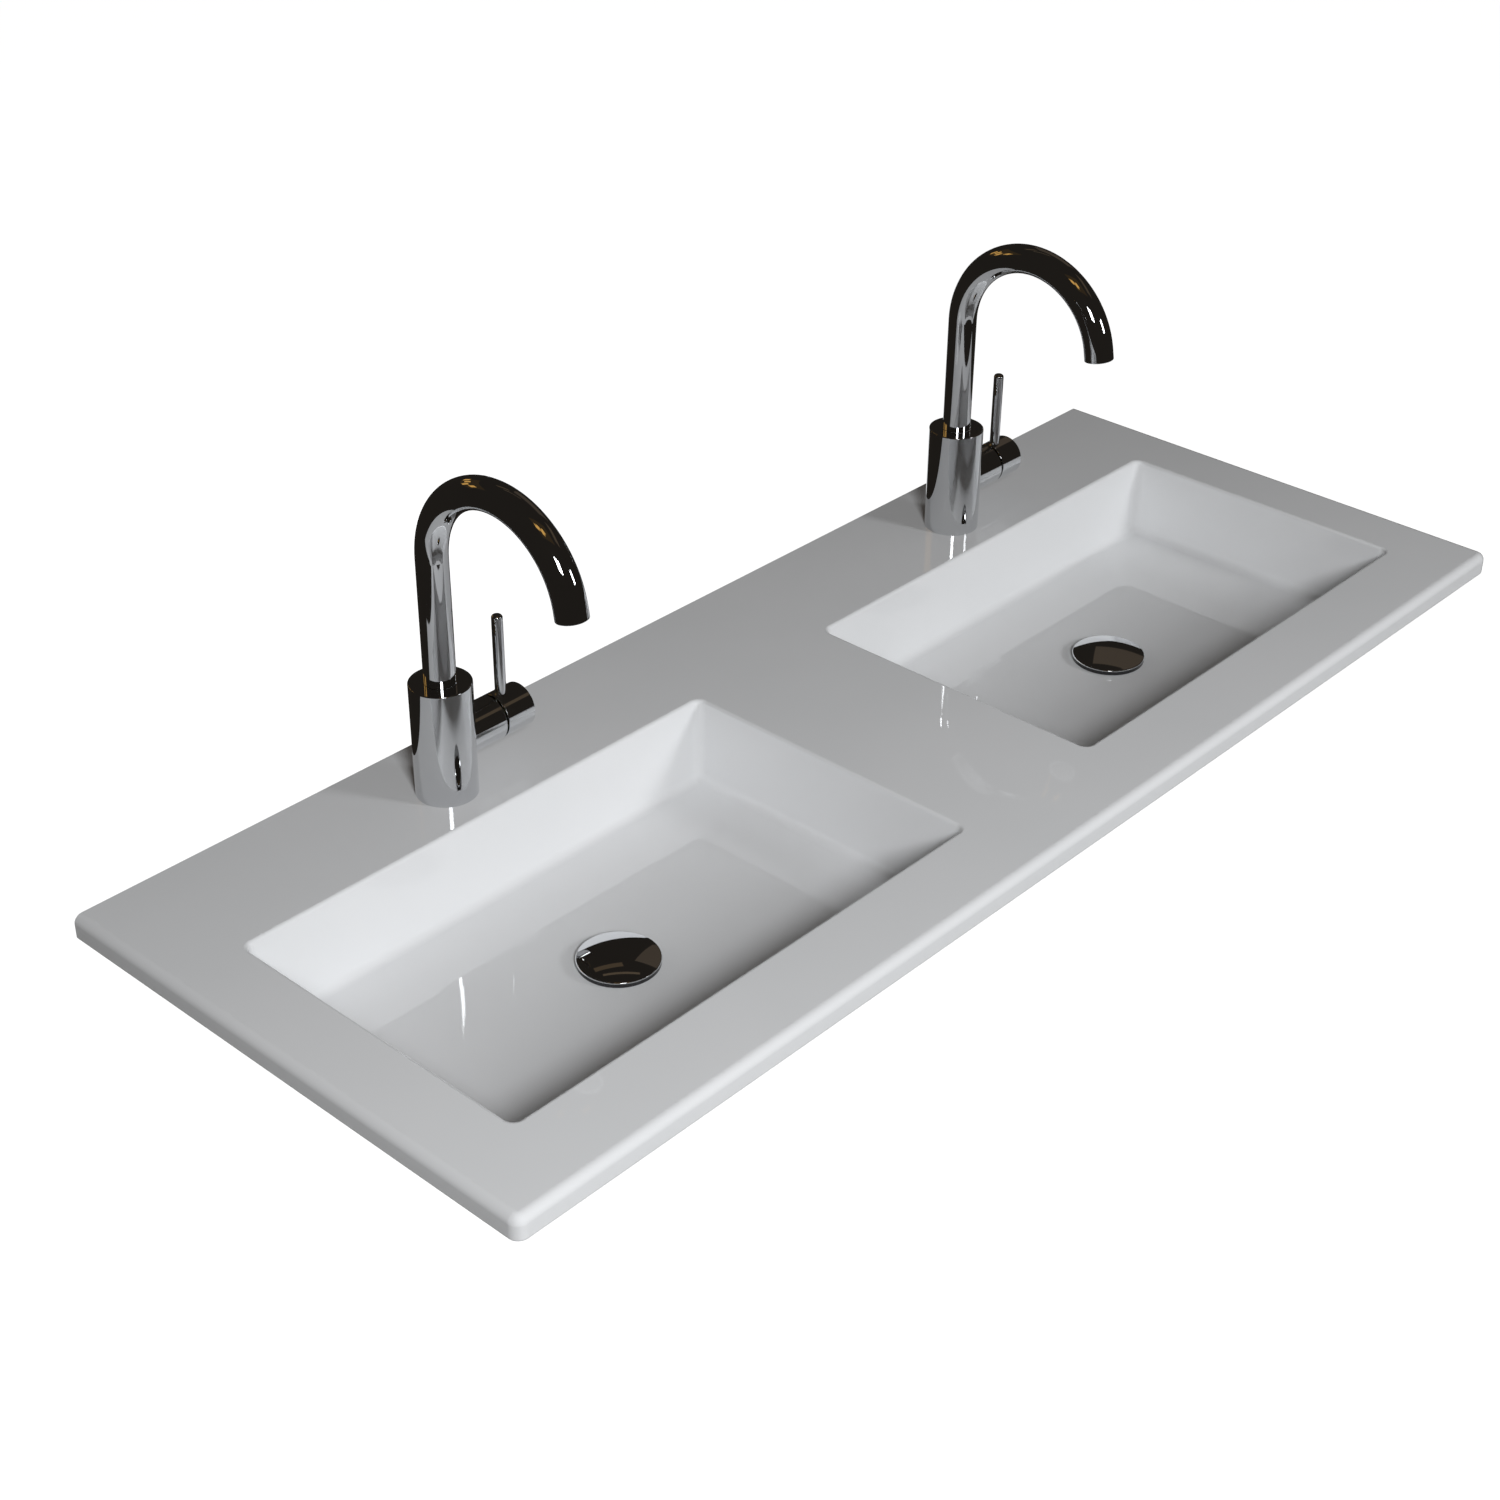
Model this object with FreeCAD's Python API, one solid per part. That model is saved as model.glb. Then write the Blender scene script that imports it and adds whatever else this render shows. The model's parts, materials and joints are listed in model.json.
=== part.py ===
import FreeCAD, Part
import math
import os

# Double vanity top with two swivel-spout mixers and two push wastes, in millimetres.
# X runs along the length, the wall is at +Y and the user stands at -Y.
# The origin is on the underside of the slab, midway between the bowls and midway from front to back.

# Slab
LENGTH = 1200.0
DEPTH = 460.0
SLAB = 20.0
TOP_EDGE_R = 7.0
UNDER_EDGE_R = 2.0
FRONT_CORNER_R = 9.0

# Bowls
END_RIM = 60.0
FRONT_RIM = 68.0
TAP_DECK = 116.0
BOWL_LENGTH = 462.0
BOWL_DEPTH = 70.0
END_SLOPE = 9.0
FRONT_SLOPE = 8.0
BACK_SLOPE = 10.0
BOWL_CORNER_R = 8.0
FLOOR_FALL = 1.0
WASTE_LAND = 4.0
RIM_R = 3.0
SHELL = 12.0
SHELL_CORNER_R = 18.0

# Holes through the casting
TAP_HOLE_D = 35.0
TAP_RECESS = 2.0
TAP_RECESS_CLEAR = 4.0
BACKPLATE_CLEAR = 8.0
WASTE_HOLE_SPARE = 2.05

# Shared clearances
RUN = 0.05
FIT = 0.05
REST_GAP = 0.3
NEAR = 1e-3

# Mixer body, measured from the deck
BODY_D = 49.0
BODY_H = 97.0
BODY_EDGE_R = 0.8
HANDLE_D = 36.0
HANDLE_DROP = 53.0
GROOVE_X = 49.0
GROOVE = 2.0
GROOVE_EDGE_R = 0.4
HANDLE_CAP_LENGTH = 27.5
HANDLE_EDGE_R = 1.0

# Spout
TUBE_D = 25.0
TUBE_WALL = 2.5
RISER = 104.0
ARC_R = 73.0
ARC_SWEEP = 170.0
OUTLET_STRAIGHT = 8.0
OUTLET_EDGE_R = 0.6
SPIGOT_STEP = 2.5
SPIGOT_WALL = 3.5
SPIGOT_LAND = 2.6
SPIGOT_BORE_RISE = 25.0
SOCKET_SPARE = 0.4
SOCKET_END_GAP = 2.0
BUSH_WALL = 2.0
BUSH_LENGTH = 8.0
SWING = 60.0
SWING_SPARE = 3.0
STOP_GROOVE_SPARE = 0.2
STOP_GROOVE_DEPTH = 1.2
SCREW_D = 4.0
SCREW_SINK = 0.6
SCREW_TIP_GAP = 0.5
SCREW_HEX = 2.0
SCREW_HEX_DEPTH = 2.0
SEAL_COUNT = 2
SEAL_W = 2.2
SEAL_GROOVE_DEPTH = 1.4

# Aerator, recessed in the outlet
AERATOR_RECESS = 1.0
AERATOR_WALL = 1.6
INSERT_T = 3.0
INSERT_HOLE_D = 2.2
INSERT_RING_PITCH = 3.1
INSERT_HOLE_COUNTS = (1, 6, 10)

# Cartridge and handle, measured along X from the mixer's axis
CHAMBER_X = 16.0
HOUSING_WALL = 3.0
CARTRIDGE_STEP = 2.0
CARTRIDGE_WALL = 2.0
PORT_PLATE = 2.0
DISC_T = 3.0
DISC_FILM = 0.05
PORT_D = 4.0
STEM_D = 10.0
STEM_FLANGE_D = 16.0
STEM_FLANGE_T = 3.0
STEM_FLAT = 1.0
SHOULDER_X = 40.0
NECK_STEP = 3.5
NECK_LENGTH = 8.0
CARTRIDGE_NUT_T = 7.0
NUT_NOTCH = 3.0
CAP_WALL = 3.0
CAP_END = 11.0
HUB_D = 18.0
HUB_SETBACK = 2.0
LEVER_D = 9.0
LEVER_MARGIN = 3.7
LEVER_LENGTH = 68.0
LEVER_TIP_R = 2.5
LEVER_SINK = 1.5
LEVER_ROOT_D = 6.0
LEVER_ROOT_LENGTH = 4.0
LEVER_SCREW_SETBACK = 5.0

# Waterways and fixing in the mixer's foot
INLET_D = 9.0
INLET_DEPTH = 12.0
INLET_PITCH = 13.0
INLET_X = -6.0
WATERWAY_D = 4.0
OUTWAY_D = 6.0
OUTWAY_RISE = 6.0
BASE_SEAL_INSET = 2.0
BASE_SEAL_W = 2.5
BASE_SEAL_T = 2.0
STUD_D = 8.0
STUD_GAP = 1.0
STUD_DEPTH = 15.0
STUD_BELOW = 34.0
HORSESHOE_D = 52.0
HORSESHOE_MOUTH = 25.0
HORSESHOE_WEB = 2.0
HORSESHOE_GASKET_T = 3.0
HORSESHOE_PLATE_T = 2.5
STUD_HOLE_SPARE = 0.4
FIXING_NUT_AF = 13.0
FIXING_NUT_H = 9.0

# Waste, measured from the bowl's floor
WASTE_THREAD_D = 41.9
WASTE_WALL = 3.95
WASTE_TAIL = 70.0
FLANGE_LAP = 5.5
FLANGE_T = 1.5
TOP_SEAL_T = 1.0
TOP_SEAL_INSET = 1.0
GASKET_LAP = 6.0
GASKET_T = 3.0
WASTE_NUT_WALL = 7.05
WASTE_NUT_H = 8.0
RELIEF_W = 2.0
RELIEF_DEPTH = 1.0
SPIDER_Z = -28.0
SPIDER_H = 6.0
SPIDER_ARM = 4.0
CLICK_D = 16.0
CLICK_TOP_Z = -2.0
CLICK_FLOOR = 2.0
CLICK_SHANK_D = 8.0
CLICK_SHANK_END = 4.0
PLUNGER_D = 10.0
PLUNGER_LENGTH = 13.0
PLUNGER_SINK = 1.0
PLUNGER_NECK_D = 6.0
SPRING_INSET = 1.0
SPRING_WIRE = 0.9
SPRING_TURNS = 4

# Waste cap and the skirt of its seal, measured from the floor of the bowl
CAP_CROWN = 3.8
CAP_EDGE_R = 0.9
CAP_PLATE = 1.2
CAP_BOSS_D = 12.0
CAP_BOSS_DROP = 3.4
PLUG_SEAL_T = 1.4
PLUG_SEAL_LAP = 1.5
SKIRT_CLEAR = 1.8
SKIRT_WALL = 1.6
SKIRT_INSET = 0.3
SKIRT_Z = 0.5
SKIRT_EDGE_R = 0.5

# Places worked out from the sizes above
UP = FreeCAD.Vector(0, 0, 1)
ALONG = FreeCAD.Vector(1, 0, 0)
BACKWARD = FreeCAD.Vector(0, 1, 0)
BOWL_X = LENGTH / 2 - END_RIM - BOWL_LENGTH / 2
BOWL_BACK = DEPTH / 2 - TAP_DECK
BOWL_FRONT = -DEPTH / 2 + FRONT_RIM
BOWL_Y = (BOWL_BACK + BOWL_FRONT) / 2
FLOOR_Z = SLAB - BOWL_DEPTH
TAP_Y = BOWL_BACK + SHELL + BACKPLATE_CLEAR + HORSESHOE_D / 2
SIDES = {"left": -BOWL_X, "right": BOWL_X}

# Spout in its socket, from the bush at the top down to the spigot's end
SPOUT_FOOT_Z = BODY_H + REST_GAP
ARC_START_Z = BODY_H + RISER
TUBE_BORE_D = TUBE_D - 2 * TUBE_WALL
SPIGOT_D = TUBE_D - 2 * SPIGOT_STEP
SPIGOT_BORE_D = SPIGOT_D - 2 * SPIGOT_WALL
SOCKET_D = SPIGOT_D + 2 * SOCKET_SPARE
BUSH_D = SPIGOT_D + 2 * BUSH_WALL
STOP_GROOVE_W = SCREW_D + 2 * STOP_GROOVE_SPARE
STOP_GROOVE_R = SPIGOT_D / 2 - STOP_GROOVE_DEPTH
SCREW_Z = BODY_H - BUSH_LENGTH - SPIGOT_LAND - STOP_GROOVE_W / 2
SEAL_GROOVE_R = SPIGOT_D / 2 - SEAL_GROOVE_DEPTH
SEAL_LOWS = [SCREW_Z - STOP_GROOVE_W / 2 - (i + 1) * (SPIGOT_LAND + SEAL_W) for i in range(SEAL_COUNT)]
SPIGOT_END_Z = SEAL_LOWS[-1] - SPIGOT_LAND
SOCKET_FLOOR_Z = SPIGOT_END_Z - SOCKET_END_GAP

# Handle and cartridge along the handle's axis
HANDLE_Z = BODY_H - HANDLE_DROP
LEVER_TOP_Z = HANDLE_Z + HANDLE_D / 2 + LEVER_LENGTH
HANDLE_CAP_X = GROOVE_X + GROOVE
HANDLE_END_X = HANDLE_CAP_X + HANDLE_CAP_LENGTH
LEVER_X = HANDLE_CAP_X + LEVER_MARGIN + LEVER_D / 2
CARTRIDGE_NUT_D = HANDLE_D - 2 * HOUSING_WALL
CARTRIDGE_D = CARTRIDGE_NUT_D - 2 * CARTRIDGE_STEP
NECK_D = CARTRIDGE_D - 2 * NECK_STEP
DISC_D = CARTRIDGE_D - 2 * CARTRIDGE_WALL
DISC_X = CHAMBER_X + PORT_PLATE
TURNING_X = DISC_X + DISC_T + DISC_FILM
STEM_X = TURNING_X + DISC_T
STEM_END_X = HANDLE_END_X - CAP_END
LEVER_SCREW_X = STEM_END_X - LEVER_SCREW_SETBACK

# Fixing under the deck
BASE_SEAL_D = BODY_D - 2 * BASE_SEAL_INSET
STUD_X = TAP_HOLE_D / 2 - STUD_GAP - STUD_D / 2
MOUTH_X = STUD_X - STUD_D / 2 - HORSESHOE_WEB - HORSESHOE_MOUTH / 2
BACKPLATE_Z = TAP_RECESS - SLAB

# Waste and its cap, from the thread outwards and from the bowl's floor upwards
WASTE_BORE_D = WASTE_THREAD_D - 2 * WASTE_WALL
WASTE_HOLE_D = WASTE_THREAD_D + 2 * WASTE_HOLE_SPARE
WASTE_NUT_AF = WASTE_THREAD_D + 2 * WASTE_NUT_WALL
FLANGE_D = WASTE_HOLE_D + 2 * FLANGE_LAP
GASKET_D = WASTE_HOLE_D + 2 * GASKET_LAP
TOP_SEAL_D = FLANGE_D - 2 * TOP_SEAL_INSET
SKIRT_D = FLANGE_D + 2 * (SKIRT_CLEAR + SKIRT_WALL)
CAP_D = SKIRT_D + 2 * SKIRT_INSET
SPRING_D = PLUNGER_D - 2 * SPRING_INSET
FLANGE_TOP_Z = TOP_SEAL_T + FLANGE_T
CAP_UNDER_Z = FLANGE_TOP_Z + REST_GAP + PLUG_SEAL_T
CAP_TOP_Z = CAP_UNDER_Z + CAP_PLATE
LAND_D = CAP_D + 2 * WASTE_LAND


def at(x, y, z):
    return FreeCAD.Vector(x, y, z)


def rod(diameter, low, high, x=0.0, y=0.0):
    return Part.makeCylinder(diameter / 2, high - low, at(x, y, low), UP)


def ring(outer, inner, low, high):
    return rod(outer, low, high).cut(rod(inner, low, high))


def level_rod(diameter, start, end, y=0.0, z=HANDLE_Z):
    return Part.makeCylinder(diameter / 2, end - start, at(start, y, z), ALONG)


def level_ring(outer, inner, start, end):
    return level_rod(outer, start, end).cut(level_rod(inner, start, end))


def hexagon(across_flats, low, high, x=0.0):
    radius = across_flats / math.sqrt(3)
    corners = [at(x + radius * math.cos(math.radians(60 * i)), radius * math.sin(math.radians(60 * i)), low)
               for i in range(7)]
    return Part.Face(Part.makePolygon(corners)).extrude(UP * (high - low))


def edges_at_height(shape, z, test):
    return [e for e in shape.Edges
            if all(abs(v.Point.z - z) < NEAR for v in e.Vertexes) and test(e.CenterOfMass)]


def edges_at_distance(shape, x):
    return [e for e in shape.Edges if abs(e.CenterOfMass.x - x) < NEAR]


# Slab and bowls
def slab():
    block = Part.makeBox(LENGTH, DEPTH, SLAB, at(-LENGTH / 2, -DEPTH / 2, 0))
    uprights = [e for e in block.Edges
                if abs(e.CenterOfMass.z - SLAB / 2) < NEAR and e.CenterOfMass.y < 0]
    block = block.makeFillet(FRONT_CORNER_R, uprights)
    block = block.makeFillet(TOP_EDGE_R, edges_at_height(block, SLAB, lambda c: c.y < DEPTH / 2 - NEAR))
    return block.makeFillet(UNDER_EDGE_R, edges_at_height(block, 0, lambda c: c.y < DEPTH / 2 - NEAR))


def bowl_outline(centre_x, z, grow):
    share = (SLAB - z) / BOWL_DEPTH
    half = BOWL_LENGTH / 2 - END_SLOPE * share + grow
    back = BOWL_BACK - BACK_SLOPE * share + grow
    front = BOWL_FRONT + FRONT_SLOPE * share - grow
    left, right = centre_x - half, centre_x + half
    corners = [at(left, front, z), at(right, front, z), at(right, back, z), at(left, back, z)]
    return Part.makePolygon(corners + corners[:1])


def bowl_form(centre_x, top, bottom, grow, corner_r):
    outlines = [bowl_outline(centre_x, z, grow) for z in (top, bottom)]
    form = Part.makeLoft(outlines, True, True)
    rounded = [e for e in form.Edges if e.BoundBox.ZMin < top - NEAR]
    return form.makeFillet(corner_r, rounded)


def floor_slopes(centre_x):
    edge = bowl_outline(centre_x, FLOOR_Z + FLOOR_FALL, -BOWL_CORNER_R)
    middle = at(centre_x, BOWL_Y, FLOOR_Z)
    quarters = [Part.makeCircle(LAND_D / 2, middle, UP, 225 + 90 * i, 315 + 90 * i) for i in range(4)]
    return Part.makeLoft([edge, Part.Wire(quarters)], True, True)


def basin_top():
    top = slab()
    for x in SIDES.values():
        top = top.fuse(bowl_form(x, SLAB / 2, FLOOR_Z - SHELL, SHELL, SHELL_CORNER_R))
    for x in SIDES.values():
        top = top.cut(bowl_form(x, SLAB, FLOOR_Z + FLOOR_FALL, 0.0, BOWL_CORNER_R))
        top = top.cut(floor_slopes(x))
    top = top.removeSplitter()
    rims = edges_at_height(top, SLAB, lambda c: abs(c.x) < LENGTH / 2 - END_RIM / 2
                           and -DEPTH / 2 + FRONT_RIM / 2 < c.y < DEPTH / 2 - TAP_DECK / 2)
    top = top.makeFillet(RIM_R, rims)
    for x in SIDES.values():
        top = top.cut(rod(TAP_HOLE_D, -SLAB, 2 * SLAB, x, TAP_Y))
        top = top.cut(rod(HORSESHOE_D + 2 * TAP_RECESS_CLEAR, -SLAB, TAP_RECESS, x, TAP_Y))
        top = top.cut(rod(WASTE_HOLE_D, FLOOR_Z - 2 * SHELL, FLOOR_Z + SHELL, x, BOWL_Y))
    return top


# Mixer body, with its sockets, waterways and fixing holes
def mixer_body():
    body = rod(BODY_D, 0, BODY_H)
    body = body.makeFillet(BODY_EDGE_R, edges_at_height(body, BODY_H, lambda c: True))
    arm = level_rod(HANDLE_D, 0, GROOVE_X)
    arm = arm.makeFillet(GROOVE_EDGE_R, edges_at_distance(arm, GROOVE_X))
    body = body.fuse(arm).removeSplitter()
    body = body.cut(ring(BASE_SEAL_D, BASE_SEAL_D - 2 * BASE_SEAL_W, 0, BASE_SEAL_T))
    body = body.cut(rod(SOCKET_D, SOCKET_FLOOR_Z, BODY_H))
    body = body.cut(rod(BUSH_D, BODY_H - BUSH_LENGTH, BODY_H))
    body = body.cut(level_rod(CARTRIDGE_D + 2 * FIT, CHAMBER_X, GROOVE_X))
    body = body.cut(level_rod(CARTRIDGE_NUT_D, SHOULDER_X, GROOVE_X))
    for side in (-1, 1):
        y = side * INLET_PITCH / 2
        body = body.cut(rod(INLET_D, 0, INLET_DEPTH, INLET_X, y))
        body = body.cut(rod(WATERWAY_D, INLET_DEPTH, HANDLE_Z, INLET_X, y))
        body = body.cut(level_rod(WATERWAY_D, INLET_X, CHAMBER_X, y))
    body = body.cut(level_rod(OUTWAY_D, 0, CHAMBER_X, 0, HANDLE_Z + OUTWAY_RISE))
    body = body.cut(rod(OUTWAY_D, HANDLE_Z + OUTWAY_RISE, SOCKET_FLOOR_Z))
    body = body.cut(rod(STUD_D, 0, STUD_DEPTH, STUD_X))
    return body.cut(Part.makeCylinder(SCREW_D / 2, BODY_D, at(0, 0, SCREW_Z), BACKWARD))


def mixer_base_seal():
    return ring(BASE_SEAL_D, BASE_SEAL_D - 2 * BASE_SEAL_W, 0, BASE_SEAL_T)


def fixing_stud():
    return rod(STUD_D - 2 * FIT, -SLAB - STUD_BELOW, STUD_DEPTH, STUD_X)


def horseshoe(top, thickness):
    plate = rod(HORSESHOE_D, top - thickness, top)
    mouth = rod(HORSESHOE_MOUTH, top - thickness, top, MOUTH_X)
    slot = Part.makeBox(HORSESHOE_D, HORSESHOE_MOUTH, thickness,
                        at(MOUTH_X - HORSESHOE_D, -HORSESHOE_MOUTH / 2, top - thickness))
    stud_hole = rod(STUD_D + STUD_HOLE_SPARE, top - thickness, top, STUD_X)
    return plate.cut(mouth).cut(slot).cut(stud_hole)


def horseshoe_gasket():
    return horseshoe(BACKPLATE_Z, HORSESHOE_GASKET_T)


def horseshoe_plate():
    return horseshoe(BACKPLATE_Z - HORSESHOE_GASKET_T, HORSESHOE_PLATE_T)


def fixing_nut():
    top = BACKPLATE_Z - HORSESHOE_GASKET_T - HORSESHOE_PLATE_T
    low = top - FIXING_NUT_H
    return hexagon(FIXING_NUT_AF, low, top, STUD_X).cut(rod(STUD_D, low, top, STUD_X))


def spout_screw():
    tip = STOP_GROOVE_R + SCREW_TIP_GAP
    head = BODY_D / 2 - SCREW_SINK
    screw = Part.makeCylinder(SCREW_D / 2 - FIT, head - tip, at(0, tip, SCREW_Z), BACKWARD)
    key = hexagon(SCREW_HEX, 0, SCREW_HEX_DEPTH)
    key.rotate(at(0, 0, 0), ALONG, -90)
    key.translate(at(0, head - SCREW_HEX_DEPTH, SCREW_Z))
    return screw.cut(key)


# Spout, which turns in the top of the body
def bend(diameter):
    centre = at(0, -ARC_R, ARC_START_Z)
    disc = Part.Face(Part.Wire(Part.makeCircle(diameter / 2, at(0, 0, ARC_START_Z), UP)))
    return disc.revolve(centre, ALONG, ARC_SWEEP)


def to_outlet(shape):
    sweep = math.radians(ARC_SWEEP)
    reach = ARC_R * (1 - math.cos(sweep)) + OUTLET_STRAIGHT * math.sin(sweep)
    height = ARC_START_Z + ARC_R * math.sin(sweep) + OUTLET_STRAIGHT * math.cos(sweep)
    shape.rotate(at(0, 0, 0), ALONG, ARC_SWEEP - 180)
    shape.translate(at(0, -reach, height))
    return shape


def stop_groove():
    spare = math.degrees(math.asin(SCREW_D / 2 / STOP_GROOVE_R)) + SWING_SPARE
    low = SCREW_Z - STOP_GROOVE_W / 2
    edge = [at(STOP_GROOVE_R, 0, low), at(SPIGOT_D, 0, low), at(SPIGOT_D, 0, low + STOP_GROOVE_W),
            at(STOP_GROOVE_R, 0, low + STOP_GROOVE_W), at(STOP_GROOVE_R, 0, low)]
    groove = Part.Face(Part.makePolygon(edge)).revolve(at(0, 0, 0), UP, 2 * (SWING + spare))
    groove.rotate(at(0, 0, 0), UP, 90 - SWING - spare)
    return groove


def spout():
    end = rod(TUBE_D, 0, OUTLET_STRAIGHT)
    end = end.makeFillet(OUTLET_EDGE_R, edges_at_height(end, 0, lambda c: True))
    tube = rod(TUBE_D, SPOUT_FOOT_Z, ARC_START_Z).fuse([bend(TUBE_D), to_outlet(end)])
    tube = tube.fuse(rod(SPIGOT_D, SPIGOT_END_Z, SPOUT_FOOT_Z))
    tube = tube.cut(rod(SPIGOT_BORE_D, SPIGOT_END_Z, SPOUT_FOOT_Z + SPIGOT_BORE_RISE))
    bore = rod(TUBE_BORE_D, SPOUT_FOOT_Z + SPIGOT_BORE_RISE, ARC_START_Z)
    tube = tube.cut(bore).cut(bend(TUBE_BORE_D)).cut(to_outlet(rod(TUBE_BORE_D, 0, OUTLET_STRAIGHT)))
    for low in SEAL_LOWS:
        tube = tube.cut(ring(2 * SPIGOT_D, 2 * SEAL_GROOVE_R, low, low + SEAL_W))
    return tube.cut(stop_groove()).removeSplitter()


def spout_seals():
    rings = []
    for low in SEAL_LOWS:
        rings.append(ring(SOCKET_D - 2 * RUN, 2 * (SEAL_GROOVE_R + FIT), low + FIT, low + SEAL_W - FIT))
    return Part.makeCompound(rings)


def spout_bush():
    return ring(BUSH_D - 2 * FIT, SPIGOT_D + 2 * RUN, BODY_H - BUSH_LENGTH, BODY_H)


def aerator_shell():
    outer = TUBE_BORE_D - 2 * FIT
    return to_outlet(ring(outer, outer - 2 * AERATOR_WALL, AERATOR_RECESS, OUTLET_STRAIGHT))


def aerator_insert():
    plate = rod(TUBE_BORE_D - 2 * AERATOR_WALL - 4 * FIT, AERATOR_RECESS, AERATOR_RECESS + INSERT_T)
    for ring_number, count in enumerate(INSERT_HOLE_COUNTS):
        radius = ring_number * INSERT_RING_PITCH
        for i in range(count):
            turn = 2 * math.pi * i / count
            x, y = radius * math.cos(turn), radius * math.sin(turn)
            plate = plate.cut(rod(INSERT_HOLE_D, 0, OUTLET_STRAIGHT, x, y))
    return to_outlet(plate)


# Cartridge, whose stem turns with the handle
def port_cutters(start, end):
    cutters = [level_rod(PORT_D, start, end, side * INLET_PITCH / 2) for side in (-1, 1)]
    return cutters + [level_rod(OUTWAY_D, start, end, 0, HANDLE_Z + OUTWAY_RISE)]


def cartridge_housing():
    neck_end = SHOULDER_X + NECK_LENGTH
    housing = level_rod(CARTRIDGE_D, CHAMBER_X, SHOULDER_X).fuse(level_rod(NECK_D, SHOULDER_X, neck_end))
    housing = housing.cut(level_rod(DISC_D + 2 * FIT, DISC_X, STEM_X + STEM_FLANGE_T + RUN))
    housing = housing.cut(level_rod(STEM_D + 2 * RUN, STEM_X, neck_end))
    return housing.cut(port_cutters(CHAMBER_X, DISC_X))


def cartridge_fixed_disc():
    return level_rod(DISC_D, DISC_X, DISC_X + DISC_T).cut(port_cutters(DISC_X, DISC_X + DISC_T))


def cartridge_turning_disc():
    disc = level_rod(DISC_D - 2 * RUN, TURNING_X, TURNING_X + DISC_T)
    pocket = level_rod(OUTWAY_D, TURNING_X, TURNING_X + DISC_T / 2, 0, HANDLE_Z + OUTWAY_RISE)
    return disc.cut(pocket)


def cartridge_stem():
    flange = level_rod(STEM_FLANGE_D, STEM_X, STEM_X + STEM_FLANGE_T)
    stem = flange.fuse(level_rod(STEM_D, STEM_X, STEM_END_X))
    flat = Part.makeBox(STEM_END_X - HANDLE_CAP_X, STEM_D, STEM_FLAT,
                        at(HANDLE_CAP_X, -STEM_D / 2, HANDLE_Z - STEM_D / 2))
    return stem.cut(flat)


def cartridge_nut():
    end = SHOULDER_X + CARTRIDGE_NUT_T
    nut = level_ring(CARTRIDGE_NUT_D - 2 * FIT, NECK_D + 2 * FIT, SHOULDER_X, end)
    notch = Part.makeBox(CARTRIDGE_NUT_T / 2, CARTRIDGE_NUT_D, NUT_NOTCH,
                         at(end - CARTRIDGE_NUT_T / 2, -CARTRIDGE_NUT_D / 2, HANDLE_Z - NUT_NOTCH / 2))
    return nut.cut(notch)


def handle_cap():
    cap = level_rod(HANDLE_D, HANDLE_CAP_X, HANDLE_END_X)
    cap = cap.makeFillet(HANDLE_EDGE_R, edges_at_distance(cap, HANDLE_END_X))
    cap = cap.makeFillet(GROOVE_EDGE_R, edges_at_distance(cap, HANDLE_CAP_X))
    cap = cap.cut(level_ring(HANDLE_D - 2 * CAP_WALL, HUB_D, HANDLE_CAP_X, STEM_END_X))
    cap = cap.cut(level_rod(HUB_D, HANDLE_CAP_X, HANDLE_CAP_X + HUB_SETBACK))
    cap = cap.cut(level_rod(STEM_D + 2 * FIT, HANDLE_CAP_X, STEM_END_X))
    surface = HANDLE_Z + HANDLE_D / 2
    cap = cap.cut(rod(LEVER_D + 2 * FIT, surface - LEVER_SINK, surface + LEVER_D, LEVER_X))
    cap = cap.cut(rod(LEVER_ROOT_D + 2 * FIT, surface - LEVER_SINK - LEVER_ROOT_LENGTH, surface, LEVER_X))
    return cap.cut(rod(SCREW_D, HANDLE_Z - HANDLE_D, HANDLE_Z, LEVER_SCREW_X))


def lever():
    seat = HANDLE_Z + HANDLE_D / 2 - LEVER_SINK
    pin = rod(LEVER_D, seat, LEVER_TOP_Z, LEVER_X)
    pin = pin.makeFillet(LEVER_TIP_R, edges_at_height(pin, LEVER_TOP_Z, lambda c: True))
    return pin.fuse(rod(LEVER_ROOT_D, seat - LEVER_ROOT_LENGTH, seat, LEVER_X))


def lever_screw():
    tip = HANDLE_Z - STEM_D / 2 + STEM_FLAT - FIT
    head = HANDLE_Z - HUB_D / 2
    key = hexagon(SCREW_HEX, head, head + SCREW_HEX_DEPTH, LEVER_SCREW_X)
    return rod(SCREW_D - 2 * FIT, head, tip, LEVER_SCREW_X).cut(key)


# Waste in the bowl's floor
def waste_body():
    thread = rod(WASTE_THREAD_D, -WASTE_TAIL, TOP_SEAL_T)
    body = thread.fuse(rod(FLANGE_D, TOP_SEAL_T, FLANGE_TOP_Z)).removeSplitter()
    body = body.cut(rod(WASTE_BORE_D, -WASTE_TAIL, FLANGE_TOP_Z))
    relief_top = -SHELL - GASKET_T - WASTE_NUT_H
    relief_d = WASTE_THREAD_D - 2 * RELIEF_DEPTH
    body = body.cut(ring(2 * WASTE_THREAD_D, relief_d, relief_top - RELIEF_W, relief_top))
    low = SPIDER_Z - SPIDER_H
    span = (WASTE_BORE_D + relief_d) / 2
    arm = Part.makeBox(span, SPIDER_ARM, SPIDER_H, at(-span / 2, -SPIDER_ARM / 2, low))
    crossing = arm.copy()
    crossing.rotate(at(0, 0, 0), UP, 90)
    body = body.fuse([arm, crossing, rod(CLICK_D, low, SPIDER_Z)]).removeSplitter()
    return body.cut(rod(CLICK_SHANK_D + 2 * FIT, low, SPIDER_Z))


def waste_top_seal():
    return ring(TOP_SEAL_D, WASTE_THREAD_D + 2 * REST_GAP, 0, TOP_SEAL_T)


def waste_gasket():
    return ring(GASKET_D, WASTE_THREAD_D + 2 * REST_GAP, -SHELL - GASKET_T, -SHELL)


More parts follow.
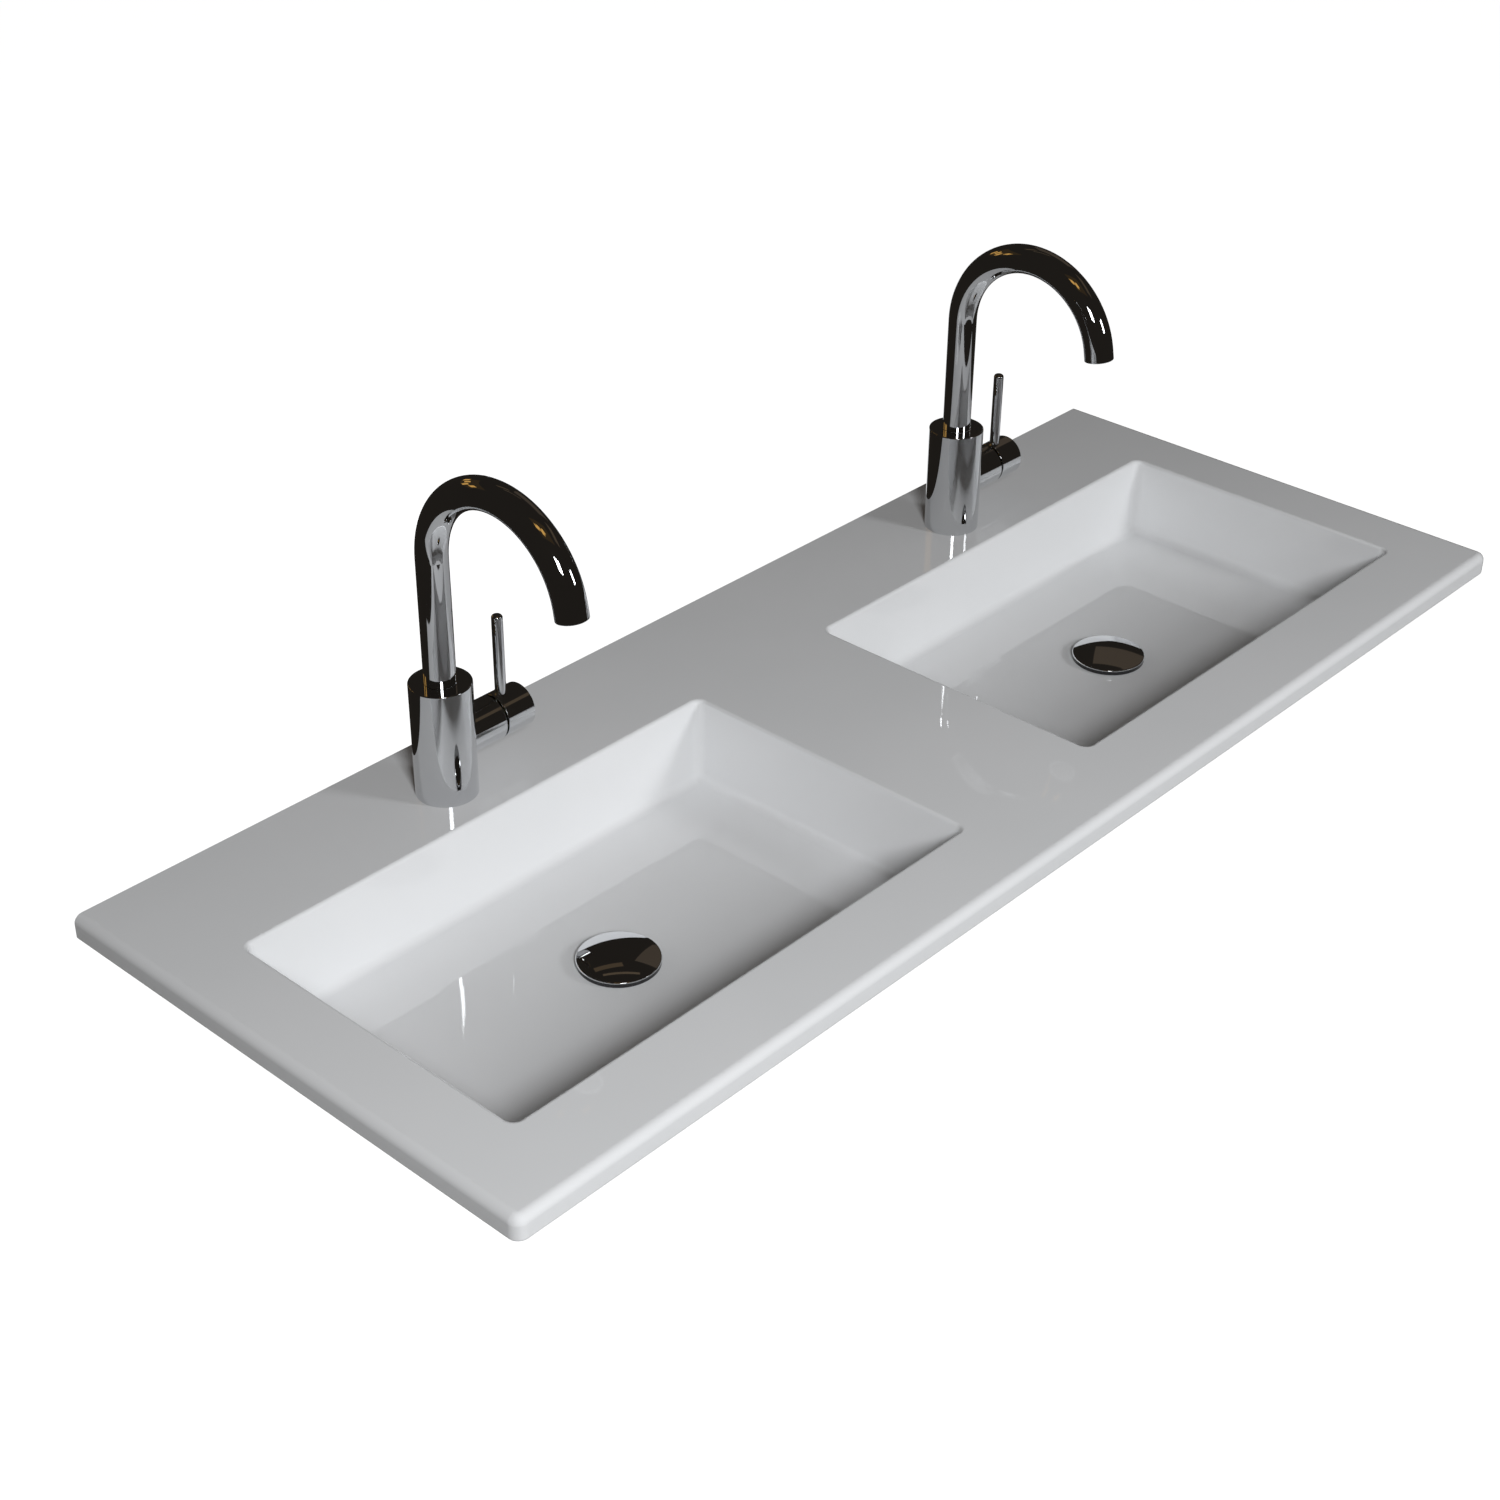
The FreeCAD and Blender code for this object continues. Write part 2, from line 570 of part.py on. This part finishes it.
def waste_nut():
    top = -SHELL - GASKET_T
    nut = hexagon(WASTE_NUT_AF, top - WASTE_NUT_H, top)
    return nut.cut(rod(WASTE_THREAD_D + 2 * FIT, top - WASTE_NUT_H, top))


def click_housing():
    housing = rod(CLICK_D, SPIDER_Z, CLICK_TOP_Z)
    housing = housing.fuse(rod(CLICK_SHANK_D, SPIDER_Z - SPIDER_H - CLICK_SHANK_END, SPIDER_Z))
    return housing.cut(rod(PLUNGER_D + 2 * RUN, SPIDER_Z + CLICK_FLOOR, CLICK_TOP_Z))


def plunger():
    shoulder = CLICK_TOP_Z - PLUNGER_SINK
    body = rod(PLUNGER_D, shoulder - PLUNGER_LENGTH, shoulder)
    return body.fuse(rod(PLUNGER_NECK_D, shoulder, CAP_UNDER_Z - FIT))


def plunger_spring():
    low = SPIDER_Z + CLICK_FLOOR + SPRING_WIRE / 2 + FIT
    high = CLICK_TOP_Z - PLUNGER_SINK - PLUNGER_LENGTH - SPRING_WIRE / 2 - FIT
    radius = (SPRING_D - SPRING_WIRE) / 2
    coil = Part.makeHelix((high - low) / SPRING_TURNS, high - low, radius)
    coil.translate(at(0, 0, low))
    half = SPRING_WIRE / 2
    corners = [at(radius + across * half, 0, low + up * half)
               for across, up in ((-1, -1), (1, -1), (1, 1), (-1, 1), (-1, -1))]
    return Part.Wire(coil.Edges).makePipeShell([Part.makePolygon(corners)], True, True)


def plug_cap():
    radius = CAP_D / 2
    shoulder = radius - CAP_EDGE_R
    slant = CAP_EDGE_R * (1 - math.sqrt(0.5))
    crown = CAP_TOP_Z + CAP_CROWN
    halfway = shoulder / 2
    under = Part.LineSegment(at(0, 0, CAP_UNDER_Z), at(radius, 0, CAP_UNDER_Z))
    rim = Part.LineSegment(at(radius, 0, CAP_UNDER_Z), at(radius, 0, CAP_TOP_Z - CAP_EDGE_R))
    edge = Part.Arc(at(radius, 0, CAP_TOP_Z - CAP_EDGE_R), at(radius - slant, 0, CAP_TOP_Z - slant),
                    at(shoulder, 0, CAP_TOP_Z))
    sphere_r = (shoulder ** 2 + CAP_CROWN ** 2) / (2 * CAP_CROWN)
    rise = math.sqrt(sphere_r ** 2 - halfway ** 2) - (sphere_r - CAP_CROWN)
    dome = Part.Arc(at(shoulder, 0, CAP_TOP_Z), at(halfway, 0, CAP_TOP_Z + rise), at(0, 0, crown))
    middle = Part.LineSegment(at(0, 0, crown), at(0, 0, CAP_UNDER_Z))
    outline = Part.Wire([part.toShape() for part in (under, rim, edge, dome, middle)])
    cap = Part.Face(outline).revolve(at(0, 0, 0), UP, 360)
    cap = cap.fuse(rod(CAP_BOSS_D, CAP_UNDER_Z - CAP_BOSS_DROP, CAP_UNDER_Z)).removeSplitter()
    return cap.cut(rod(PLUNGER_NECK_D + 2 * FIT, CAP_UNDER_Z - CAP_BOSS_DROP, CAP_UNDER_Z))


def plug_seal():
    web_z = FLANGE_TOP_Z + REST_GAP
    seal = rod(SKIRT_D, SKIRT_Z, CAP_UNDER_Z)
    seal = seal.makeFillet(SKIRT_EDGE_R, edges_at_height(seal, SKIRT_Z, lambda c: True))
    seal = seal.cut(rod(SKIRT_D - 2 * SKIRT_WALL, SKIRT_Z, web_z))
    return seal.cut(rod(WASTE_BORE_D + 2 * PLUG_SEAL_LAP, SKIRT_Z, CAP_UNDER_Z))


# Writing the pieces
def placed(shape, x, y, z):
    copy = shape.copy()
    copy.translate(at(x, y, z))
    return copy


def write(name, shape):
    shape.exportStep("parts/" + name + ".step")


MIXER_PIECES = (mixer_body, spout, spout_seals, spout_bush, aerator_shell, aerator_insert,
                cartridge_housing, cartridge_fixed_disc, cartridge_turning_disc, cartridge_stem,
                cartridge_nut, handle_cap, lever, lever_screw)
WASTE_PIECES = (waste_body, waste_top_seal, waste_gasket, waste_nut, click_housing, plunger, plunger_spring,
                plug_cap, plug_seal)
MIXER_FASTENERS = {"mixer_base_seals": mixer_base_seal, "fixing_studs": fixing_stud,
                   "horseshoe_gaskets": horseshoe_gasket, "horseshoe_plates": horseshoe_plate,
                   "fixing_nuts": fixing_nut, "spout_screws": spout_screw}

write("basin_top", basin_top())
for name, make in MIXER_FASTENERS.items():
    write(name, Part.makeCompound([placed(make(), x, TAP_Y, SLAB) for x in SIDES.values()]))
for side, x in SIDES.items():
    for make in MIXER_PIECES:
        write(side + "_" + make.__name__, placed(make(), x, TAP_Y, SLAB))
    for make in WASTE_PIECES:
        write(side + "_" + make.__name__, placed(make(), x, BOWL_Y, FLOOR_Z))
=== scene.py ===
import json
import math

import bmesh
import bpy
from mathutils import Matrix, Vector


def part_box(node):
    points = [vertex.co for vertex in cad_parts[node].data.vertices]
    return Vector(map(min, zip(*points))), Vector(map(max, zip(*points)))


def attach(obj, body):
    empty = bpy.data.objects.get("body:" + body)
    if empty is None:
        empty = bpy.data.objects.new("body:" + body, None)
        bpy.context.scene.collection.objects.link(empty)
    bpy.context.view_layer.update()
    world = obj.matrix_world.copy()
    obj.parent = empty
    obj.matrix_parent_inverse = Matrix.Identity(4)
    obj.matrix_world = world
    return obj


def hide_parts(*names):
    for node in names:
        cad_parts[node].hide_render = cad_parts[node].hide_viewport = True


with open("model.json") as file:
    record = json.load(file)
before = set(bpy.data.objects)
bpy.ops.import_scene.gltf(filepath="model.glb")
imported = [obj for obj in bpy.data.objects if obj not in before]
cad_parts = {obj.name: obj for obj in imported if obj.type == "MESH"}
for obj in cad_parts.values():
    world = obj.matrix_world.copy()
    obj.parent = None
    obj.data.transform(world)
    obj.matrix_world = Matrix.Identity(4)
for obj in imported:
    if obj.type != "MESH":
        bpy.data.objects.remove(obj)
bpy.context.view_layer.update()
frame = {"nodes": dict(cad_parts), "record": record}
NODES = frame["nodes"]
SLOTS = {subpart["node"]: subpart["material_slot"] for subpart in frame["record"]["subparts"]}
# The piece that shows for each node: the node itself, or the piece that replaces it
SHOWN = dict(NODES)

# Threads, which the solids leave plain: pitches in metres, depths and shares by the pitch
WASTE_PITCH = 0.002309
STUD_PITCH = 0.00125
PIPE_DEPTH = 0.640
METRIC_DEPTH = 0.613
ROOT_SHARE = 0.94
CREST_SHARE = 0.12
RUN_OUT_TURNS = 0.5
STEPS_A_TURN = 32
RELIEF_WIDTH = 0.002
ROOT_SINK = 0.0001
NEAR = 0.00005
SHARP_ANGLE = math.radians(30)

# Finishes: noise scales by the metre, bump depths in metres
BLEND_LOW = 0.3
BLEND_HIGH = 0.7
CLOUD_SCALE = 5.0
WAVE_SCALE = 9.0
WAVE_DEPTH = 0.0005
PEEL_SCALE = 260.0
PEEL_DEPTH = 0.000001
FILM_SCALE = 22.0
SPECK_SCALE = 900.0
SPECK_DEPTH = 0.0000006
GRAINS_A_PATCH = 12.0

# Camera, at the photograph's viewing angle
CAMERA_PLACE = Vector((-1.3405, -1.0874, 1.0660))
CAMERA_AZIMUTH = 47.82
CAMERA_ELEVATION = 32.15
CAMERA_ROLL = 0.57
LENS_MM = 59.87
SENSOR_MM = 36.0
CLIP_END = 100.0

# Stage: a white floor and world, and a dark room that only reflections see
WHITE = (1.0, 1.0, 1.0, 1.0)
COOL_WHITE = (0.97, 0.985, 1.0)
FLOOR_Z = -0.83
FLOOR_HALF = 20.0
FLOOR_COLOUR = (0.55, 0.55, 0.55, 1.0)
FLOOR_GLOW = 0.96
AMBIENT_COLOUR = (1.0, 0.9, 0.8, 1.0)
AMBIENT = 0.06
ROOM_LOW = Vector((-4.0, -4.0, -0.8))
ROOM_HIGH = Vector((4.0, 4.0, 4.0))
ROOM_COLOUR = (1.0, 0.85, 0.7)
ROOM_GLOW = 0.016

# Lamps: turn, rise, width and height, and power
LAMP_DISTANCE = 2.6
SOFTBOXES = {
    "left_softbox": (-40.0, 32.2, (0.50, 0.56), 40.0),
    "right_softbox": (23.0, 23.0, (0.40, 0.55), 20.0),
}
# A lamp behind the part and below its deck, for views from behind
BACK_FILL_TURN = 180.0
BACK_FILL_RISE = -12.0
BACK_FILL_SIZE = (1.6, 0.4)
BACK_FILL_POWER = 14.0
# Finishes that mirror the softboxes and the cards; the gelcoat mirrors the pieces that stand on it
PLATED_SLOTS = ("chrome", "brass", "steel", "seal_rubber")
GLINT_DISTANCE = 2.58
GLINT_SHARE = 0.22

# Cards that only reflections see: turn, rise, distance, width, height, colour and glow
CARDS = {
    "brown_wall": (112.0, 36.0, 3.5, 1.5, 1.5, (1.0, 0.78, 0.58), 0.06),
    "brown_shelf": (150.0, 52.0, 3.5, 0.9, 0.25, (1.0, 0.72, 0.45), 0.07),
    "brown_beam": (140.0, 60.0, 3.5, 1.2, 0.12, (1.0, 0.75, 0.5), 0.09),
    "brown_rail": (59.0, 49.0, 3.5, 1.6, 0.55, (1.0, 0.75, 0.5), 0.07),
    "gold_back": (-166.0, 31.0, 3.5, 2.4, 1.1, (1.0, 0.68, 0.36), 0.035),
    "gold_front": (-20.0, 68.0, 3.5, 2.4, 1.3, (1.0, 0.68, 0.36), 0.035),
    "back_band": (135.0, -13.8, 1.8, 0.7, 0.7, COOL_WHITE, 0.8),
}
CARD_THICKNESS = 0.002
# Rows of small amber cards in two heights: turn, rise, step in turn, step in rise
AMBER_ROWS = {
    "back_row": (-185.0, 26.0, 11.0, 3.0),
    "front_row": (-58.0, 64.0, 12.0, 3.0),
}
AMBER_COUNT = 4
AMBER_DISTANCE = 3.3
AMBER_SIZE = 0.34
AMBER_COLOUR = (1.0, 0.55, 0.14)
AMBER_GLOW = 0.7


# Shader helpers
def new_material(name):
    material = bpy.data.materials.new(name)
    material.use_nodes = True
    material.node_tree.nodes.clear()
    return material


def add_node(tree, kind, values=None, **settings):
    node = tree.nodes.new(kind)
    for key, value in settings.items():
        setattr(node, key, value)
    for key, value in (values or {}).items():
        node.inputs[key].default_value = value
    return node


def noise(tree, scale, detail, roughness=0.5):
    place = add_node(tree, "ShaderNodeTexCoord")
    values = {"Scale": scale, "Detail": detail, "Roughness": roughness}
    texture = add_node(tree, "ShaderNodeTexNoise", values)
    tree.links.new(place.outputs["Object"], texture.inputs["Vector"])
    return texture.outputs["Fac"]


def blend(tree, source, dark, pale):
    node = add_node(tree, "ShaderNodeValToRGB")
    stops = ((BLEND_LOW, dark), (BLEND_HIGH, pale))
    for element, (position, colour) in zip(node.color_ramp.elements, stops):
        element.position = position
        element.color = (*colour, 1.0)
    tree.links.new(source, node.inputs["Fac"])
    return node.outputs["Color"]


def spread(tree, source, low, high):
    node = add_node(tree, "ShaderNodeMapRange", {"To Min": low, "To Max": high})
    tree.links.new(source, node.inputs["Value"])
    return node.outputs["Result"]


def bump(tree, source, depth, below=None):
    node = add_node(tree, "ShaderNodeBump", {"Strength": 1.0, "Distance": depth})
    tree.links.new(source, node.inputs["Height"])
    if below is not None:
        tree.links.new(below, node.inputs["Normal"])
    return node.outputs["Normal"]


def surface(name, values):
    material = new_material(name)
    tree = material.node_tree
    shader = add_node(tree, "ShaderNodeBsdfPrincipled", values)
    output = add_node(tree, "ShaderNodeOutputMaterial")
    tree.links.new(shader.outputs["BSDF"], output.inputs["Surface"])
    return material, tree, shader


# Finishes
def gelcoat(name, dark, pale, smooth, rough):
    values = {"IOR": 1.5, "Coat Weight": 0.3, "Coat Roughness": 0.02}
    material, tree, shader = surface(name, values)
    clouds = noise(tree, CLOUD_SCALE, detail=3.0)
    peel = noise(tree, PEEL_SCALE, detail=2.0)
    waves = noise(tree, WAVE_SCALE, detail=1.0)
    tree.links.new(blend(tree, clouds, dark, pale), shader.inputs["Base Color"])
    tree.links.new(spread(tree, clouds, smooth, rough), shader.inputs["Roughness"])
    normal = bump(tree, peel, PEEL_DEPTH, below=bump(tree, waves, WAVE_DEPTH))
    tree.links.new(normal, shader.inputs["Normal"])
    return material


def plated(name, dark, pale, smooth, rough):
    material, tree, shader = surface(name, {"Metallic": 1.0})
    film = noise(tree, FILM_SCALE, detail=4.0)
    specks = noise(tree, SPECK_SCALE, detail=2.0)
    tree.links.new(blend(tree, film, dark, pale), shader.inputs["Base Color"])
    tree.links.new(spread(tree, film, smooth, rough), shader.inputs["Roughness"])
    tree.links.new(bump(tree, specks, SPECK_DEPTH), shader.inputs["Normal"])
    return material


def grained(name, dark, pale, scale, depth, roughness):
    material, tree, shader = surface(name, {"Roughness": roughness})
    grain = noise(tree, scale, detail=4.0, roughness=0.6)
    patches = noise(tree, scale / GRAINS_A_PATCH, detail=2.0)
    tree.links.new(blend(tree, patches, dark, pale), shader.inputs["Base Color"])
    tree.links.new(bump(tree, grain, depth), shader.inputs["Normal"])
    return material


FINISHES = {
    "gloss_white": gelcoat(
        "gelcoat_white", dark=(0.845, 0.855, 0.865), pale=(0.875, 0.88, 0.89), smooth=0.012, rough=0.03),
    "chrome": plated(
        "polished_chrome", dark=(0.70, 0.71, 0.73), pale=(0.76, 0.77, 0.78), smooth=0.015, rough=0.05),
    "brass": plated(
        "turned_brass", dark=(0.60, 0.43, 0.19), pale=(0.74, 0.57, 0.29), smooth=0.18, rough=0.32),
    "steel": plated(
        "zinc_plated_steel", dark=(0.46, 0.47, 0.48), pale=(0.60, 0.61, 0.62), smooth=0.25, rough=0.42),
    "seal_rubber": grained(
        "smooth_black_rubber", dark=(0.012, 0.012, 0.013), pale=(0.02, 0.02, 0.022),
        scale=500.0, depth=0.00001, roughness=0.22),
    "rubber": grained(
        "black_rubber", dark=(0.018, 0.018, 0.019), pale=(0.035, 0.035, 0.036),
        scale=700.0, depth=0.00004, roughness=0.75),
    "white_plastic": grained(
        "moulded_white_plastic", dark=(0.70, 0.70, 0.68), pale=(0.78, 0.78, 0.76),
        scale=900.0, depth=0.00001, roughness=0.4),
    "grey_plastic": grained(
        "moulded_grey_plastic", dark=(0.19, 0.20, 0.21), pale=(0.25, 0.26, 0.27),
        scale=900.0, depth=0.00001, roughness=0.45),
    "disc_ceramic": grained(
        "lapped_ceramic", dark=(0.80, 0.79, 0.75), pale=(0.87, 0.86, 0.82),
        scale=1500.0, depth=0.000002, roughness=0.2),
}


def dress_nodes():
    for node, slot in SLOTS.items():
        mesh = NODES[node].data
        mesh.materials.clear()
        mesh.materials.append(FINISHES[slot])


# Threads: the plain cylinder shrinks to the root, and a ridge winds round it out to the old radius
def add_ridge(mesh, axis, low, high, root, crest, pitch):
    base = pitch * ROOT_SHARE / 2
    tip = pitch * CREST_SHARE / 2
    foot = root - ROOT_SINK
    steps = int((high - low - 2 * base) / pitch * STEPS_A_TURN)
    run_out = RUN_OUT_TURNS * STEPS_A_TURN
    faces = []
    last = None
    for i in range(steps + 1):
        angle = 2 * math.pi * i / STEPS_A_TURN
        outward = Vector((math.cos(angle), math.sin(angle), 0.0))
        middle = Vector((axis.x, axis.y, low + base + pitch * i / STEPS_A_TURN))
        top = root + (crest - root) * min(1.0, i / run_out, (steps - i) / run_out)
        ring = []
        for radius, lift in ((foot, -base), (top, -tip), (top, tip), (foot, base)):
            ring.append(mesh.verts.new(middle + outward * radius + Vector((0.0, 0.0, lift))))
        if last is None:
            faces.append(mesh.faces.new(ring))
        else:
            for k in range(len(ring)):
                faces.append(mesh.faces.new((last[k - 1], last[k], ring[k], ring[k - 1])))
        last = ring
    faces.append(mesh.faces.new(last))
    bmesh.ops.recalc_face_normals(mesh, faces=faces)


def cut_thread(mesh, low, high, pitch, depth_share):
    axis = (low.xy + high.xy) / 2
    reach = high.x - low.x

    def radius(vert):
        return (vert.co.xy - axis).length

    near = [vert for vert in mesh.verts if radius(vert) < reach]
    stretch = [vert for vert in near if low.z - NEAR < vert.co.z < high.z + NEAR]
    crest = max(radius(vert) for vert in stretch)
    root = crest - pitch * depth_share
    for vert in stretch:
        if radius(vert) > crest - NEAR:
            vert.co.xy = axis + (vert.co.xy - axis) * (root / crest)
    add_ridge(mesh, axis, low.z, high.z, root, crest, pitch)


def threaded(node, boxes, pitch, depth_share):
    mesh = bmesh.new()
    mesh.from_mesh(NODES[node].data)
    for low, high in boxes:
        cut_thread(mesh, low, high, pitch, depth_share)
    data = bpy.data.meshes.new(node + "_threaded")
    mesh.to_mesh(data)
    mesh.free()
    if "custom_normal" in data.attributes:
        data.attributes.remove(data.attributes["custom_normal"])
    data.shade_smooth()
    data.set_sharp_from_angle(angle=SHARP_ANGLE)
    data.materials.append(FINISHES[SLOTS[node]])
    piece = bpy.data.objects.new(node + "_threaded", data)
    bpy.context.scene.collection.objects.link(piece)
    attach(piece, "top")
    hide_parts(node)
    SHOWN[node] = piece


def thread_wastes():
    for side in ("left", "right"):
        low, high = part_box(side + "_waste_body")
        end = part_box(side + "_waste_nut")[0].z - RELIEF_WIDTH
        tail = (low, Vector((high.x, high.y, end)))
        threaded(side + "_waste_body", [tail], WASTE_PITCH, PIPE_DEPTH)


def thread_studs():
    places = [vert.co for vert in NODES["fixing_studs"].data.vertices]
    studs = []
    for side in (-1, 1):
        own = [place for place in places if place.x * side > 0]
        low = Vector([min(place[k] for place in own) for k in range(3)])
        high = Vector([max(place[k] for place in own) for k in range(3)])
        studs.append((low, high))
    threaded("fixing_studs", studs, STUD_PITCH, METRIC_DEPTH)


# Stage
def box_mesh(name, low, high):
    corners = [(x, y, z) for x in (low.x, high.x) for y in (low.y, high.y) for z in (low.z, high.z)]
    faces = [(0, 1, 3, 2), (4, 6, 7, 5), (0, 4, 5, 1), (2, 3, 7, 6), (0, 2, 6, 4), (1, 5, 7, 3)]
    mesh = bpy.data.meshes.new(name)
    mesh.from_pydata(corners, [], faces)
    thing = bpy.data.objects.new(name, mesh)
    bpy.context.scene.collection.objects.link(thing)
    return thing


def shown_rays(tree):
    path = add_node(tree, "ShaderNodeLightPath")
    total = path.outputs["Is Camera Ray"]
    for name in ("Is Glossy Ray", "Is Transmission Ray"):
        either = add_node(tree, "ShaderNodeMath", operation="MAXIMUM")
        tree.links.new(total, either.inputs[0])
        tree.links.new(path.outputs[name], either.inputs[1])
        total = either.outputs["Value"]
    return total


def make_floor():
    bpy.ops.mesh.primitive_plane_add(size=2 * FLOOR_HALF, location=(0, 0, FLOOR_Z))
    floor = bpy.context.object
    floor.name = "floor"
    material = new_material("pale_floor")
    tree = material.node_tree
    matt = add_node(tree, "ShaderNodeBsdfDiffuse", {"Color": FLOOR_COLOUR})
    glow = add_node(tree, "ShaderNodeEmission", {"Color": WHITE, "Strength": FLOOR_GLOW})
    both = add_node(tree, "ShaderNodeAddShader")
    tree.links.new(matt.outputs["BSDF"], both.inputs[0])
    tree.links.new(glow.outputs["Emission"], both.inputs[1])
    pick = add_node(tree, "ShaderNodeMixShader")
    tree.links.new(shown_rays(tree), pick.inputs["Fac"])
    tree.links.new(matt.outputs["BSDF"], pick.inputs[1])
    tree.links.new(both.outputs["Shader"], pick.inputs[2])
    output = add_node(tree, "ShaderNodeOutputMaterial")
    tree.links.new(pick.outputs["Shader"], output.inputs["Surface"])
    floor.data.materials.append(material)


def only_reflected(thing):
    thing.visible_camera = False
    thing.visible_diffuse = False
    thing.visible_transmission = False
    thing.visible_shadow = False


def glowing(name, colour, strength):
    material = new_material(name)
    tree = material.node_tree
    glow = add_node(tree, "ShaderNodeEmission", {"Color": (*colour, 1.0), "Strength": strength})
    output = add_node(tree, "ShaderNodeOutputMaterial")
    tree.links.new(glow.outputs["Emission"], output.inputs["Surface"])
    return material


def make_dark_room():
    room = box_mesh("dark_room", ROOM_LOW, ROOM_HIGH)
    only_reflected(room)
    room.data.materials.append(glowing("dark_cloth", ROOM_COLOUR, ROOM_GLOW))


def make_world():
    world = bpy.data.worlds.new("studio")
    bpy.context.scene.world = world
    world.use_nodes = True
    tree = world.node_tree
    tree.nodes.clear()
    ambient = add_node(tree, "ShaderNodeBackground", {"Color": AMBIENT_COLOUR, "Strength": AMBIENT})
    white = add_node(tree, "ShaderNodeBackground", {"Color": WHITE, "Strength": 1.0})
    pick = add_node(tree, "ShaderNodeMixShader")
    output = add_node(tree, "ShaderNodeOutputWorld")
    tree.links.new(shown_rays(tree), pick.inputs["Fac"])
    tree.links.new(ambient.outputs["Background"], pick.inputs[1])
    tree.links.new(white.outputs["Background"], pick.inputs[2])
    tree.links.new(pick.outputs["Shader"], output.inputs["Surface"])


# Light and camera
def around(turn, rise, distance):
    level = distance * math.cos(math.radians(rise))
    sideways = level * math.sin(math.radians(turn))
    forward = -level * math.cos(math.radians(turn))
    return Vector((sideways, forward, distance * math.sin(math.radians(rise))))


def face_middle(thing, place):
    thing.location = place
    thing.rotation_euler = (-place).to_track_quat("-Z", "Y").to_euler()


def area_light(name, place, size, power):
    data = bpy.data.lights.new(name, "AREA")
    data.shape = "RECTANGLE"
    data.size, data.size_y = size
    data.energy = power
    data.color = COOL_WHITE
    lamp = bpy.data.objects.new(name, data)
    bpy.context.scene.collection.objects.link(lamp)
    face_middle(lamp, place)
    return lamp


def plated_pieces():
    group = bpy.data.collections.new("plated_pieces")
    for node, slot in SLOTS.items():
        if slot in PLATED_SLOTS:
            group.objects.link(SHOWN[node])
    return group


# Each softbox lights the part unseen, and a dimmer glint just in front of it shows in the plated pieces
def make_softboxes(pieces):
    for name, (turn, rise, size, power) in SOFTBOXES.items():
        box = area_light(name, around(turn, rise, LAMP_DISTANCE), size, power)
        box.visible_glossy = False
        glint_place = around(turn, rise, GLINT_DISTANCE)
        glint = area_light(name + "_glint", glint_place, size, GLINT_SHARE * power)
        glint.visible_diffuse = False
        glint.light_linking.receiver_collection = pieces


def make_back_fill():
    place = around(BACK_FILL_TURN, BACK_FILL_RISE, LAMP_DISTANCE)
    fill = area_light("back_fill", place, BACK_FILL_SIZE, BACK_FILL_POWER)
    fill.visible_glossy = False


def make_card(name, place, width, height, material, pieces):
    half = Vector((width / 2, height / 2, CARD_THICKNESS / 2))
    card = box_mesh(name, -half, half)
    face_middle(card, place)
    only_reflected(card)
    card.light_linking.receiver_collection = pieces
    card.data.materials.append(material)


def make_cards(pieces):
    for name, (turn, rise, distance, width, height, colour, glow) in CARDS.items():
        material = glowing(name, colour, glow)
        make_card(name, around(turn, rise, distance), width, height, material, pieces)
    amber = glowing("amber", AMBER_COLOUR, AMBER_GLOW)
    for name, (turn, rise, turn_step, rise_step) in AMBER_ROWS.items():
        for i in range(AMBER_COUNT):
            lift = rise_step * (i % 2)
            place = around(turn + i * turn_step, rise + lift, AMBER_DISTANCE)
            make_card("%s_%d" % (name, i), place, AMBER_SIZE, AMBER_SIZE, amber, pieces)


def make_camera():
    data = bpy.data.cameras.new("camera")
    data.sensor_width = SENSOR_MM
    data.lens = LENS_MM
    data.clip_end = CLIP_END
    camera = bpy.data.objects.new("camera", data)
    bpy.context.scene.collection.objects.link(camera)
    turn = Matrix.Rotation(math.radians(-CAMERA_AZIMUTH), 4, "Z")
    tilt = Matrix.Rotation(math.radians(90 - CAMERA_ELEVATION), 4, "X")
    roll = Matrix.Rotation(math.radians(CAMERA_ROLL), 4, "Z")
    camera.matrix_world = Matrix.Translation(CAMERA_PLACE) @ turn @ tilt @ roll
    bpy.context.scene.camera = camera


dress_nodes()
thread_wastes()
thread_studs()
make_floor()
make_dark_room()
make_world()
mirroring = plated_pieces()
make_softboxes(mirroring)
make_back_fill()
make_cards(mirroring)
make_camera()
bpy.context.scene.view_settings.view_transform = "Standard"
